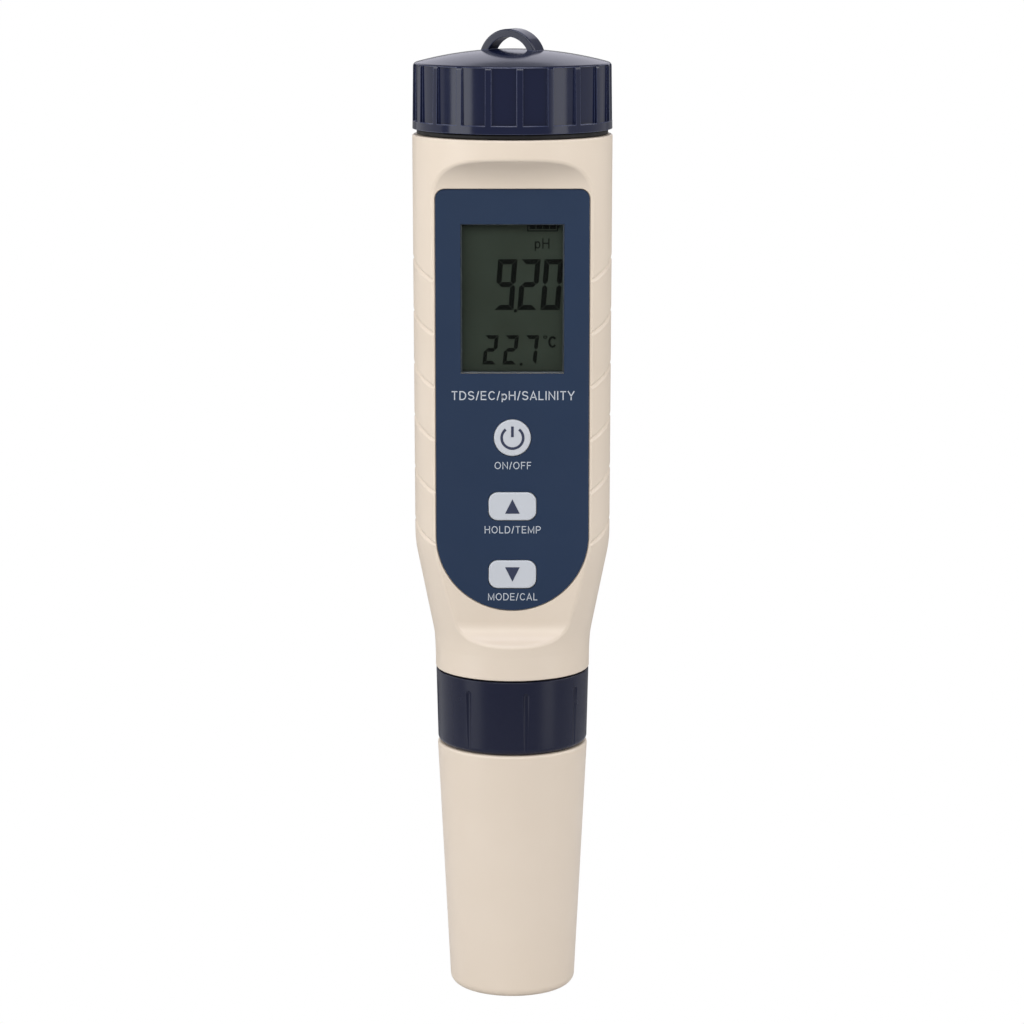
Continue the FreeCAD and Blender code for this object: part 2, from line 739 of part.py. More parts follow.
# ---------------------------------------------------------------- collar
collar = new_body("electrode_collar")
collar_top = D.body_foot - 0.3
collar_bore = D.spigot_crest + D.thread_clear
lip_radius = D.electrode_plug + 0.3
revolve(collar, [(lip_radius, D.collar_foot), (D.collar_foot_radius, D.collar_foot),
                 (D.collar_top_radius, collar_top), (collar_bore, collar_top),
                 (collar_bore, D.collar_foot + 1.9), (lip_radius, D.collar_foot + 1.9)])
soften(collar, "Fillet", 1.1, ring_at(D.collar_foot, D.collar_foot_radius))
soften(collar, "Fillet", 0.2, ring_at(collar_top, D.collar_top_radius))
notch = new_sketch(collar, "XZ", 0.0, D.notch_turn - 90)
upright_axis(notch, 15.2, 50, 60)
add_outline(notch, [(15.2, 48.0), (15.95, 48.0), (15.95, 61.0), (15.2, 61.75, 15.2, 61.0)])
first_notch = spin(collar, "Groove", notch, "Axis0")
polar(collar, first_notch, D.notch_count)
thread(collar, D.spigot_radius + D.thread_clear, collar_bore + 0.3, 56.7, 4.5, False)
node(collar, "electrode_collar")

# ---------------------------------------------------------------- probe cap
probe_cap = new_body("probe_cap")
rim_level = D.collar_foot - 0.1
revolve(probe_cap, [(0, 0), (D.probe_cap_base_radius, 0), (D.probe_cap_top_radius, rim_level),
                    (D.probe_cap_bore, rim_level), (D.probe_cap_bore - 0.4, 2.0), (0, 2.0)])
soften(probe_cap, "Fillet", 1.8, ring_at(0, D.probe_cap_base_radius))
soften(probe_cap, "Fillet", 0.5, ring_at(rim_level, D.probe_cap_top_radius))
node(probe_cap, "probe_cap")

sponge = new_body("storage_sponge")
revolve(sponge, [(0, 2.05), (10.6, 2.05), (10.6, 4.3), (0, 4.3)])
soften(sponge, "Fillet", 0.5, ring_at(4.3, 10.6))
node(sponge, "storage_sponge")

seal = bound_primitive("Torus", "probe_cap_seal", Radius1=10.47, Radius2=0.75)
node(place(seal, 0, 0, 45.0), "probe_cap_seal")

# ---------------------------------------------------------------- electrode
PH_AT = (-3.0, 0.0)
REFERENCE_AT = (3.0, 3.4)
SENSOR_AT = (3.6, -2.8)
PLATES_AT = [(-0.4, 5.4), (-0.4, -5.4)]
deck = D.sensor_deck
electrode = new_body("electrode_housing")
revolve(electrode, [(0, deck), (D.probe_radius - 1.5, deck), (D.probe_radius - 1.5, D.probe_foot),
                    (D.probe_radius, D.probe_foot), (D.probe_radius, 40.5),
                    (D.electrode_plug, 42.0), (D.electrode_plug, 44.1), (9.7, 44.1), (9.7, 45.9),
                    (D.electrode_plug, 45.9), (D.electrode_plug, 51.3), (D.electrode_flange, 51.3),
                    (D.electrode_flange, 53.6), (D.electrode_stem, 53.6),
                    (D.electrode_stem, 58.05), (7.45, 58.05), (7.45, 59.95),
                    (D.electrode_stem, 59.95), (D.electrode_stem, 65.5), (0, 65.5)])
slit = new_sketch(electrode, "XY", 23.0)
add_outline(slit, [(4.0, -3.0), (12.0, -3.0), (12.0, 3.0), (4.0, 3.0)])
first_slit = pocket(electrode, slit, 11.0)
polar(electrode, first_slit, 4)
vertical_hole(electrode, PH_AT[0], PH_AT[1], 2.15, deck - 0.5, 45.5)
vertical_hole(electrode, REFERENCE_AT[0], REFERENCE_AT[1], 1.6, deck - 0.5, deck + 2.05)
vertical_hole(electrode, SENSOR_AT[0], SENSOR_AT[1], 1.25, deck - 0.5, deck + 5.05)
for across, along in PLATES_AT:
    vertical_hole(electrode, across, along, 0.75, deck - 0.5, deck + 4.05)
PIN_BEARINGS = [math.radians(60 * step + 30) for step in range(6)]
PINS_AT = [(5.0 * math.cos(bearing), 5.0 * math.sin(bearing)) for bearing in PIN_BEARINGS]
for across, along in PINS_AT:
    vertical_hole(electrode, across, along, 0.55, 61.95, 66.0)
node(electrode, "electrode_housing")

ring = bound_primitive("Torus", "electrode_o_ring", Radius1=8.3, Radius2=0.83)
node(place(ring, 0, 0, 59.0), "electrode_o_ring")

pins = new_body("electrode_pins")
pins.AllowCompound = True
for across, along in PINS_AT:
    vertical_cylinder(pins, across, along, 0.5, 62.0, 70.5)
node(pins, "electrode_pins")

socket = new_body("electrode_socket")
revolve(socket, [(0, 67.05), (12.6, 67.05), (12.6, 68.6), (6.8, 68.6), (6.8, 71.6), (0, 71.6)])
for across, along in PINS_AT:
    vertical_hole(socket, across, along, 0.58, 67.0, 71.0)
front_cut(socket, box_corners(-14.0, 66.0, 14.0, 72.0), -14.0, 14.1 + wall_back)
node(socket, "electrode_socket")

bulb = new_body("ph_bulb")
bulb_level = 18.0
bulb_outer = 3.1
bulb_inner = 2.8
tube_outer = 2.0
tube_inner = 1.6
tube_top = 45.0
outer_join = bulb_level + math.sqrt(bulb_outer ** 2 - tube_outer ** 2)
inner_join = bulb_level + math.sqrt(bulb_inner ** 2 - tube_inner ** 2)
stem_x = PH_AT[0]
bulb_profile = new_sketch(bulb, "XZ")
upright_axis(bulb_profile, stem_x, 10, 20)
add_outline(bulb_profile, [(stem_x, bulb_level - bulb_outer),
                           (stem_x + bulb_outer, bulb_level, stem_x, bulb_level),
                           (stem_x + tube_outer, outer_join, stem_x, bulb_level),
                           (stem_x + tube_outer, tube_top), (stem_x + tube_inner, tube_top),
                           (stem_x + tube_inner, inner_join),
                           (stem_x + bulb_inner, bulb_level, stem_x, bulb_level),
                           (stem_x, bulb_level - bulb_inner, stem_x, bulb_level)])
spin(bulb, "Revolution", bulb_profile, "Axis0")
node(bulb, "ph_bulb")

inner_wire = bound_primitive("Cylinder", "ph_inner_wire", Radius=0.35, Height=27.0)
node(place(inner_wire, PH_AT[0], PH_AT[1], 18.0), "ph_inner_wire")

junction = bound_primitive("Cylinder", "reference_junction", Radius=1.5, Height=2.6)
node(place(junction, REFERENCE_AT[0], REFERENCE_AT[1], deck - 0.6), "reference_junction")

plates = new_body("conductivity_pins")
plates.AllowCompound = True
for across, along in PLATES_AT:
    vertical_cylinder(plates, across, along, 0.7, 17.0, deck + 4)
node(plates, "conductivity_pins")

probe_tip = 13.0
probe = new_body("temperature_probe")
vertical_cylinder(probe, SENSOR_AT[0], SENSOR_AT[1], 1.2, probe_tip, deck + 5)


def tip_edge(edge):
    return isinstance(edge.Curve, Part.Circle) and edge.Vertexes[0].Z < probe_tip + 1


soften(probe, "Fillet", 1.0, tip_edge)
node(probe, "temperature_probe")

# ---------------------------------------------------------------- check and write
doc.recompute()
faults = []
for item in doc.Objects:
    if "Invalid" in item.State or "Error" in item.State:
        faults.append(item.Label + " did not compute")
for item in NODES:
    if item.Shape.isNull() or not item.Shape.isValid() or not item.Shape.Solids:
        faults.append(item.Label + " has no sound solid")
if faults:
    raise RuntimeError("; ".join(faults))
for item in NODES:
    item.Shape.exportStep("parts/%s.step" % item.Label)
    print("%-22s solids %2d  volume %9.1f" % (item.Label, len(item.Shape.Solids), item.Shape.Volume))
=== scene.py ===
import json
import math
from collections import namedtuple

import bmesh
import bpy
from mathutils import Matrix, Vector


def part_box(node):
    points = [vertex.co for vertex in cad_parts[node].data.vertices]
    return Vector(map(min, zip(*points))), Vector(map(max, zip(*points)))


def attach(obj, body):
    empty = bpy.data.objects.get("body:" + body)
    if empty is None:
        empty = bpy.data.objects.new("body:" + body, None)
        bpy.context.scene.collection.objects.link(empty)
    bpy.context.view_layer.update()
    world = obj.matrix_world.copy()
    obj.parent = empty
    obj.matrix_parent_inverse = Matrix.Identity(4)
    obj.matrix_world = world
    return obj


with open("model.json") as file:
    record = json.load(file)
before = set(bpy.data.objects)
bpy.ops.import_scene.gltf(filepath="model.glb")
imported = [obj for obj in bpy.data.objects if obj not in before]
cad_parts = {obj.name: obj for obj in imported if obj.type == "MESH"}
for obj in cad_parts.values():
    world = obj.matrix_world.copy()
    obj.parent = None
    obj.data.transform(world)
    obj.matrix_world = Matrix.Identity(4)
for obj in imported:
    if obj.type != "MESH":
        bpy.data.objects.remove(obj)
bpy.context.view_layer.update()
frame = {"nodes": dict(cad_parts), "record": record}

# Digital water tester: a material for every CAD piece, the print on the panel, keys and display,
# and a small studio.  Metres; +Z runs up the body and the display faces -Y.

MM = 0.001
WHITE = (1, 1, 1)


# ---------------------------------------------------------------- node materials
class Shader:
    """One Principled material, built up with procedural colour, roughness and bump.

    Noise scales are in ripples per metre, depths and radii in metres.
    """

    # most of a noise texture's values lie between these
    NOISE_SPAN = (0.3, 0.7)
    # cosine of the turn between the true and the rounded surface: no painted highlight, and full
    # painted highlight
    EDGE_HIGHLIGHT_SPAN = (0.998, 0.9)

    def __init__(self, name, base, roughness, metallic=0.0, specular=0.5):
        self.name = name
        self.material = bpy.data.materials.new(name)
        self.material.use_nodes = True
        self.tree = self.material.node_tree
        self.output = self.tree.nodes["Material Output"]
        self.bsdf = self.tree.nodes["Principled BSDF"]
        self.bsdf.inputs["Base Color"].default_value = (*base, 1)
        self.bsdf.inputs["Roughness"].default_value = roughness
        self.bsdf.inputs["Metallic"].default_value = metallic
        self.bsdf.inputs["Specular IOR Level"].default_value = specular
        self.base = base
        self.roughness = roughness
        self.place = self.node("ShaderNodeTexCoord")
        self.normal = None

    def node(self, kind, **values):
        item = self.tree.nodes.new(kind)
        for name, value in values.items():
            setattr(item, name, value)
        return item

    def link(self, source, target):
        self.tree.links.new(source, target)

    def noise(self, scale, detail=3.0, rough=0.55, stretch=(1, 1, 1)):
        mapping = self.node("ShaderNodeMapping")
        mapping.inputs["Scale"].default_value = stretch
        self.link(self.place.outputs["Object"], mapping.inputs["Vector"])
        item = self.node("ShaderNodeTexNoise")
        item.inputs["Scale"].default_value = scale
        item.inputs["Detail"].default_value = detail
        item.inputs["Roughness"].default_value = rough
        self.link(mapping.outputs["Vector"], item.inputs["Vector"])
        return item.outputs["Fac"]

    def ranged(self, source, span, low=0.0, high=1.0):
        """The source's values over the span, moved to run from low to high."""
        item = self.node("ShaderNodeMapRange")
        item.inputs["From Min"].default_value = span[0]
        item.inputs["From Max"].default_value = span[1]
        item.inputs["To Min"].default_value = low
        item.inputs["To Max"].default_value = high
        self.link(source, item.inputs["Value"])
        return item.outputs["Result"]

    def coloured(self, share, other):
        """Base colour where the share is 0, the other colour where it is 1."""
        mix = self.node("ShaderNodeMix", data_type="RGBA")
        mix.inputs["A"].default_value = (*self.base, 1)
        mix.inputs["B"].default_value = (*other, 1)
        self.link(share, mix.inputs["Factor"])
        self.link(mix.outputs["Result"], self.bsdf.inputs["Base Color"])
        return self

    def mottle(self, scale, amount, tint=WHITE, **kind):
        """Slow colour drift: the base colour darkened and tinted where the noise is high."""
        shade = [channel * (1 - amount) * t for channel, t in zip(self.base, tint)]
        return self.coloured(self.ranged(self.noise(scale, **kind), self.NOISE_SPAN), shade)

    def uneven_gloss(self, scale, spread, **kind):
        low, high = self.roughness - spread, self.roughness + spread
        result = self.ranged(self.noise(scale, **kind), self.NOISE_SPAN, low, high)
        self.link(result, self.bsdf.inputs["Roughness"])
        return self

    def soft_edges(self, radius, edge_highlight):
        """Round every sharp edge in the shading, and paint it lighter towards the edge colour: a
        painted highlight.
        """
        bevel = self.node("ShaderNodeBevel", samples=8)
        bevel.inputs["Radius"].default_value = radius
        self.normal = bevel.outputs["Normal"]
        surface = self.node("ShaderNodeNewGeometry")
        turn = self.node("ShaderNodeVectorMath", operation="DOT_PRODUCT")
        self.link(bevel.outputs["Normal"], turn.inputs[0])
        self.link(surface.outputs["Normal"], turn.inputs[1])
        # painted highlight: the edge colour where the rounded shading turns away from the true
        # surface
        return self.coloured(self.ranged(turn.outputs["Value"], self.EDGE_HIGHLIGHT_SPAN), edge_highlight)

    def faced(self, front, depth, inner):
        """Base colour on the plane y = front, fading behind it to the inner colour, a painted
        shade.
        """
        axes = self.node("ShaderNodeSeparateXYZ")
        self.link(self.place.outputs["Object"], axes.inputs["Vector"])
        return self.coloured(self.ranged(axes.outputs["Y"], (front, front + depth)), inner)

    def relief(self, scale, depth, strength=1.0, **kind):
        """Bump on top of any earlier bump or soft edges."""
        bump = self.node("ShaderNodeBump")
        bump.inputs["Strength"].default_value = strength
        bump.inputs["Distance"].default_value = depth
        self.link(self.noise(scale, **kind), bump.inputs["Height"])
        if self.normal is not None:
            self.link(self.normal, bump.inputs["Normal"])
        self.normal = bump.outputs["Normal"]
        self.link(self.normal, self.bsdf.inputs["Normal"])
        return self


def plastic(name, base, roughness, grain=2600, drift=0.03, **kind):
    """Moulded plastic: slow colour drift, uneven gloss, fine spark-eroded grain."""
    shader = Shader(name, base, roughness, **kind)
    shader.mottle(scale=45, amount=drift, tint=(1.0, 0.995, 0.985))
    shader.uneven_gloss(scale=160, spread=0.05, detail=4)
    shader.relief(scale=140, depth=2.5e-5, strength=0.5, detail=2)
    return shader.relief(scale=grain, depth=4e-6, detail=2)


def polished(name, base, roughness, edge, edge_highlight, **kind):
    """Glossy plastic with slightly rounded edges, painted lighter along them as a highlight."""
    shader = Shader(name, base, roughness, **kind)
    shader.soft_edges(edge, edge_highlight)
    shader.uneven_gloss(scale=160, spread=0.015, detail=2)
    return shader.relief(scale=2600, depth=1e-6, detail=2)


def metal(name, base, roughness, stretch=(1, 1, 1)):
    """Drawn or turned metal: the stretch sets the way of its brushing."""
    shader = Shader(name, base, roughness, metallic=1.0)
    shader.mottle(scale=300, amount=0.12, stretch=stretch)
    shader.uneven_gloss(scale=900, spread=0.08, stretch=stretch)
    return shader.relief(scale=1500, depth=3e-6, stretch=stretch)


def rubber(name, base):
    """Dull moulded rubber with a coarse skin."""
    shader = Shader(name, base, roughness=0.55, specular=0.35)
    shader.mottle(scale=400, amount=0.25)
    shader.uneven_gloss(scale=600, spread=0.1)
    return shader.relief(scale=2200, depth=1.2e-5)


def sponge(name, base):
    """Open foam: coarse deep pores."""
    shader = Shader(name, base, roughness=0.95, specular=0.15)
    shader.mottle(scale=1200, amount=0.45)
    return shader.relief(scale=900, depth=2.5e-4, detail=5)


def ceramic(name, base):
    """Unglazed porous ceramic."""
    shader = Shader(name, base, roughness=0.7)
    shader.mottle(scale=900, amount=0.15)
    shader.uneven_gloss(scale=700, spread=0.1)
    return shader.relief(scale=3000, depth=1e-5)


def display(name, base):
    """Reflective liquid crystal display: a dull olive sheet, a little cloudy."""
    shader = Shader(name, base, roughness=0.5, specular=0.02)
    shader.mottle(scale=70, amount=0.22, tint=(1, 0.97, 0.9))
    shader.uneven_gloss(scale=250, spread=0.05)
    return shader.relief(scale=1800, depth=1e-6)


def rimmed(name, base, inner):
    """The display's carrier: a light rim on its front face, with painted shade down inside the
    opening.
    """
    shader = Shader(name, base, roughness=0.45, specular=0.2)
    # painted shade: the walls of the display opening darken behind the front face
    shader.faced(front=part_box("lcd_frame")[0].y, depth=0.12 * MM, inner=inner)
    shader.uneven_gloss(scale=300, spread=0.08)
    return shader.relief(scale=2600, depth=3e-6)


def clear(name, tint, roughness, ior):
    """Thin clear sheet: lets light through, with a Fresnel gloss."""
    shader = Shader(name, tint, roughness)
    see = shader.node("ShaderNodeBsdfTransparent")
    see.inputs["Color"].default_value = (*tint, 1)
    gloss = shader.node("ShaderNodeBsdfGlossy")
    gloss.inputs["Roughness"].default_value = roughness
    edge = shader.node("ShaderNodeFresnel")
    edge.inputs["IOR"].default_value = ior
    mix = shader.node("ShaderNodeMixShader")
    shader.link(edge.outputs["Fac"], mix.inputs["Fac"])
    shader.link(see.outputs["BSDF"], mix.inputs[1])
    shader.link(gloss.outputs["BSDF"], mix.inputs[2])
    shader.link(mix.outputs["Shader"], shader.output.inputs["Surface"])
    shader.tree.nodes.remove(shader.bsdf)
    return shader


# name, base colour, roughness
LOOKS = {shader.name: shader for shader in [
    plastic("cream_plastic", (0.69, 0.592, 0.487), 0.38),
    # the second colour of the two navy looks is a painted highlight along their edges
    polished("navy_plastic", (0.0058, 0.0086, 0.0295), 0.14,
             edge=0.17 * MM, edge_highlight=(0.05, 0.06, 0.125)),
    polished("navy_satin", (0.0085, 0.0103, 0.0255), 0.26,
             edge=0.13 * MM, edge_highlight=(0.024, 0.027, 0.048), specular=0.26),
    plastic("panel_film", (0.0197, 0.035, 0.0715), 0.42,
            grain=4200, drift=0.05, specular=0.15),
    plastic("key_plastic", (0.512, 0.533, 0.573), 0.42),
    plastic("black_plastic", (0.018, 0.019, 0.021), 0.42),
    plastic("stem_plastic", (0.62, 0.57, 0.48), 0.45),
    plastic("component_plastic", (0.16, 0.11, 0.07), 0.4),
    plastic("diffuser", (0.8, 0.81, 0.78), 0.5),
    plastic("board_green", (0.012, 0.12, 0.045), 0.3, grain=900, drift=0.2),
    plastic("legend_print", (0.50, 0.53, 0.58), 0.5),
    plastic("icon_print", (0.019, 0.026, 0.062), 0.5),
    plastic("segment_ink", (0.004, 0.005, 0.0045), 0.6, specular=0.02),
    rubber("black_rubber", (0.006, 0.0055, 0.006)),
    sponge("sponge", (0.62, 0.66, 0.68)),
    ceramic("ceramic_white", (0.82, 0.8, 0.76)),
    metal("steel", (0.62, 0.62, 0.63), 0.25, stretch=(1, 1, 4)),
    metal("spring_brass", (0.78, 0.6, 0.3), 0.28),
    metal("silver_wire", (0.8, 0.8, 0.79), 0.2),
    display("display_glass", (0.046, 0.057, 0.046)),
    # the inner colour is painted shade on the walls of the display opening
    rimmed("frame_plastic", (0.14, 0.16, 0.19), inner=(0.012, 0.014, 0.013)),
    clear("clear_window", (0.97, 0.98, 0.97), 0.05, ior=1.17),
    clear("bulb_glass", (0.9, 0.95, 0.97), 0.02, ior=1.5),
]}

# each CAD piece takes the look named after its slot in the record, but the collar is less glossy
look_of = {entry["node"]: entry["material_slot"] for entry in frame["record"]["subparts"]}
look_of["electrode_collar"] = "navy_satin"
for node_name, node in frame["nodes"].items():
    for material_slot in node.material_slots:
        material_slot.material = LOOKS[look_of[node_name]].material


# ---------------------------------------------------------------- print as thin raised plates
# what a print lies on: the plane y = front, its ink, the body it rides on and its finish's slot
Ground = namedtuple("Ground", "front look body thickness slot")


def ground(node_name, look, body, thickness, slot):
    """The foremost surface of a CAD piece."""
    return Ground(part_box(node_name)[0].y, look, body, thickness, slot)


def middle(node_name):
    """Level of the middle of a CAD piece."""
    low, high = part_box(node_name)
    return (low.z + high.z) / 2


def finish_print(name, shape, on):
    """Make the plates in the bmesh one piece that rides on the ground's body."""
    bmesh.ops.recalc_face_normals(shape, faces=shape.faces)
    mesh = bpy.data.meshes.new(name)
    shape.to_mesh(mesh)
    shape.free()
    mesh.materials.append(LOOKS[on.look].material)
    piece = bpy.data.objects.new(name, mesh)
    bpy.context.scene.collection.objects.link(piece)
    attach(piece, on.body)


def printed(name, outlines, on):
    """Plates from closed outlines in X and Z."""
    shape = bmesh.new()
    for outline in outlines:
        back = [shape.verts.new((x, on.front, z)) for x, z in outline]
        face = [shape.verts.new((x, on.front - on.thickness, z)) for x, z in outline]
        shape.faces.new(face)
        shape.faces.new(back[::-1])
        count = len(outline)
        for corner in range(count):
            after = (corner + 1) % count
            shape.faces.new((back[corner], back[after], face[after], face[corner]))
    finish_print(name, shape, on)


# ---------------------------------------------------------------- stroke lettering
def bow(centre_x, centre_z, reach_x, reach_z, start, finish):
    """Points along part of an ellipse; degrees anticlockwise from +X."""
    steps = max(4, round(abs(finish - start) / 12))
    angles = [math.radians(start + (finish - start) * step / steps) for step in range(steps + 1)]
    return [(centre_x + reach_x * math.cos(a), centre_z + reach_z * math.sin(a)) for a in angles]


# centre lines of a bottom stroke, a top stroke and a left stem, for a cap height of 1
FOOT, HEAD, STEM = 0.065, 0.935, 0.07

# plain sans-serif letters: width, then the centre lines of their strokes
LETTERS = {
    "T": (0.60, [[(0.02, HEAD), (0.58, HEAD)], [(0.30, 0.93), (0.30, 0)]]),
    "D": (0.68, [[(STEM, FOOT), (STEM, HEAD), (0.27, HEAD)]
                 + bow(0.29, 0.5, 0.33, 0.435, 84, -84) + [(0.27, FOOT), (STEM, FOOT)]]),
    "S": (0.62, [bow(0.31, 0.72, 0.235, 0.215, 15, 235) + bow(0.31, 0.28, 0.25, 0.215, 55, -165)]),
    "/": (0.30, [[(0.03, -0.02), (0.27, 1.0)]]),
    "E": (0.58, [[(0.55, HEAD), (STEM, HEAD), (STEM, FOOT), (0.56, FOOT)],
                 [(STEM, 0.51), (0.51, 0.51)]]),
    "C": (0.68, [bow(0.37, 0.5, 0.30, 0.435, 38, 322)]),
    "p": (0.54, [[(STEM, 0.71), (STEM, -0.22)], bow(0.28, 0.36, 0.20, 0.30, 0, 360)]),
    "H": (0.68, [[(STEM, 1), (STEM, 0)], [(0.61, 1), (0.61, 0)], [(STEM, 0.52), (0.61, 0.52)]]),
    "A": (0.66, [[(0.03, 0), (0.33, 0.95), (0.63, 0)], [(0.13, 0.30), (0.53, 0.30)]]),
    "L": (0.52, [[(STEM, 1), (STEM, FOOT), (0.50, FOOT)]]),
    "I": (0.14, [[(STEM, 1), (STEM, 0)]]),
    "N": (0.68, [[(STEM, 0), (STEM, 0.93), (0.61, 0.07), (0.61, 1)]]),
    "Y": (0.64, [[(0.02, 1), (0.32, 0.44), (0.62, 1)], [(0.32, 0.44), (0.32, 0)]]),
    "O": (0.76, [bow(0.38, 0.5, 0.32, 0.435, 0, 360)]),
    "F": (0.54, [[(0.52, HEAD), (STEM, HEAD), (STEM, 0)], [(STEM, 0.5), (0.46, 0.5)]]),
    "M": (0.80, [[(STEM, 0), (STEM, 0.93), (0.40, 0.12), (0.73, 0.93), (0.73, 0)]]),
    "P": (0.62, [[(STEM, 0), (STEM, HEAD), (0.33, HEAD)]
                 + bow(0.34, 0.69, 0.22, 0.245, 84, -84) + [(0.33, 0.445), (STEM, 0.445)]]),
    "°": (0.30, [bow(0.14, 0.86, 0.12, 0.12, 0, 360)]),
}
LETTER_SPACE = 0.15
# smallest cosine of half a stroke's turn that still gets a full mitre
MITRE_LIMIT = 0.45


def edges_of(points, half):
    """Both edges of a stroke of even width, with mitred corners."""
    looped = math.dist(points[0], points[-1]) < 1e-9
    ways = [Vector((b[0] - a[0], b[1] - a[1])).normalized() for a, b in zip(points, points[1:])]
    left_edge, right_edge = [], []
    for place, (x, z) in enumerate(points):
        before = ways[place - 1] if place > 0 or looped else ways[0]
        after = ways[place] if place < len(ways) else (ways[0] if looped else ways[-1])
        bisector = (before + after).normalized()
        reach = half / max(MITRE_LIMIT, bisector.dot(after))
        left_edge.append((x - bisector.y * reach, z + bisector.x * reach))
        right_edge.append((x + bisector.y * reach, z - bisector.x * reach))
    return left_edge, right_edge


def add_stroke(shape, points, half, on):
    """A ribbon plate along the points."""
    face = on.front - on.thickness
    rows = []
    for (left_x, left_z), (right_x, right_z) in zip(*edges_of(points, half)):
        corners = [(left_x, on.front, left_z), (left_x, face, left_z),
                   (right_x, face, right_z), (right_x, on.front, right_z)]
        rows.append([shape.verts.new(corner) for corner in corners])
    for first, second in zip(rows, rows[1:]):
        for corner in range(4):
            after = (corner + 1) % 4
            shape.faces.new((first[corner], second[corner], second[after], first[after]))
    shape.faces.new(rows[0])
    shape.faces.new(rows[-1][::-1])


def lettering(name, words, centre_x, foot, height, width, stroke, on):
    """One line of letters with a set cap height, overall width and stroke."""
    natural = sum(LETTERS[letter][0] + LETTER_SPACE for letter in words) - LETTER_SPACE
    across = width / natural
    shape = bmesh.new()
    pen = centre_x - width / 2
    for letter in words:
        letter_width, lines = LETTERS[letter]
        for line in lines:
            points = [(pen + x * across, foot + z * height) for x, z in line]
            add_stroke(shape, points, stroke / 2, on)
        pen += (letter_width + LETTER_SPACE) * across
    finish_print(name, shape, on)


# ---------------------------------------------------------------- legends on the panel
panel = ground("face_panel", "legend_print", "shell", 0.03 * MM, "panel_film")
window_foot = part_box("display_window")[0].z
window_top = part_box("display_window")[1].z

lettering("legend_quantities", "TDS/EC/pH/SALINITY", 0.1 * MM, window_foot - 5.15 * MM,
          height=1.72 * MM, width=23.3 * MM, stroke=0.2 * MM, on=panel)

# the three key legends: words, centre, drop below the key's middle, width
KEY_LEGENDS = [
    ("power", "ON/OFF", 0.1 * MM, 6.03 * MM, 7.0 * MM),
    ("up", "HOLD/TEMP", 0.05 * MM, 5.23 * MM, 10.75 * MM),
    ("down", "MODE/CAL", 0.05 * MM, 5.08 * MM, 9.5 * MM),
]
for key, words, centre_x, drop, width in KEY_LEGENDS:
    lettering("legend_" + key, words, centre_x, middle("key_" + key) - drop,
              height=1.42 * MM, width=width, stroke=0.15 * MM, on=panel)


# ---------------------------------------------------------------- icons on the keys
def open_ring(centre_z, radius, stroke, gap):
    """Ring with a gap at the top, that many degrees to each side."""
    steps = 40
    angles = [math.radians(gap + (360 - 2 * gap) * step / steps) for step in range(steps + 1)]
    outer, inner = radius + stroke / 2, radius - stroke / 2
    there = [(outer * math.sin(a), centre_z + outer * math.cos(a)) for a in angles]
    back = [(inner * math.sin(a), centre_z + inner * math.cos(a)) for a in angles]
    return there + back[::-1]


def box_outline(left, low, right, high):
    return [(left, low), (right, low), (right, high), (left, high)]


def power_icon(level):
    bar_half = 0.26 * MM
    return [open_ring(level, radius=2.05 * MM, stroke=0.5 * MM, gap=38),
            box_outline(-bar_half, level + 0.15 * MM, bar_half, level + 2.2 * MM)]


def triangle(level, way):
    """Points up where way is 1, down where it is -1."""
    half = 1.4 * MM
    return [[(-half, level - way * half), (half, level - way * half), (0, level + way * half)]]


KEY_ICONS = {
    "power": power_icon(middle("key_power")),
    "up": triangle(middle("key_up"), 1),
    "down": triangle(middle("key_down"), -1),
}
for key, outlines in KEY_ICONS.items():
    key_top = ground("key_" + key, "icon_print", "key_" + key, 0.03 * MM, "panel_film")
    printed("icon_" + key, outlines, key_top)

# ---------------------------------------------------------------- display segments
glass = ground("lcd_glass", "segment_ink", "shell", 0.02 * MM, "display_glass")

# which of the seven bars each figure shown lights
DIGITS = {"0": "abcdef", "2": "abged", "7": "abc", "9": "abcdfg"}
BAR_GAP = 0.09 * MM


def digit_bars(width, height, stroke):
    """The seven bars of a digit, named a to g, standing on its lower left corner."""
    half = height / 2
    s = stroke
    g = BAR_GAP / 2
    bars = {
        "a": [(g, height), (width - g, height), (width - s - g, height - s), (s + g, height - s)],
        "d": [(g, 0), (s + g, s), (width - s - g, s), (width - g, 0)],
        "f": [(0, height - g), (s, height - s - g), (s, half + s * 0.6), (s * 0.5, half + g),
              (0, half + s * 0.5)],
        "e": [(0, g), (0, half - s * 0.5), (s * 0.5, half - g), (s, half - s * 0.6), (s, s + g)],
        "g": [(s * 0.55, half), (s * 1.05, half + s * 0.5), (width - s * 1.05, half + s * 0.5),
              (width - s * 0.55, half), (width - s * 1.05, half - s * 0.5),
              (s * 1.05, half - s * 0.5)],
    }
    bars["b"] = [(width - x, z) for x, z in bars["f"]]
    bars["c"] = [(width - x, z) for x, z in bars["e"]]
    return bars


def digit_row(figures, left, foot, width, height, stroke, pitch, slant):
    bars = digit_bars(width, height, stroke)
    shapes = []
    for place, figure in enumerate(figures):
        origin = left + place * pitch
        for bar in DIGITS[figure]:
            shapes.append([(origin + x + z * slant, foot + z) for x, z in bars[bar]])
    return shapes


def dot(x, z, radius):
    angles = [math.radians(45 * step) for step in range(8)]
    return [(x + radius * math.cos(a), z + radius * math.sin(a)) for a in angles]


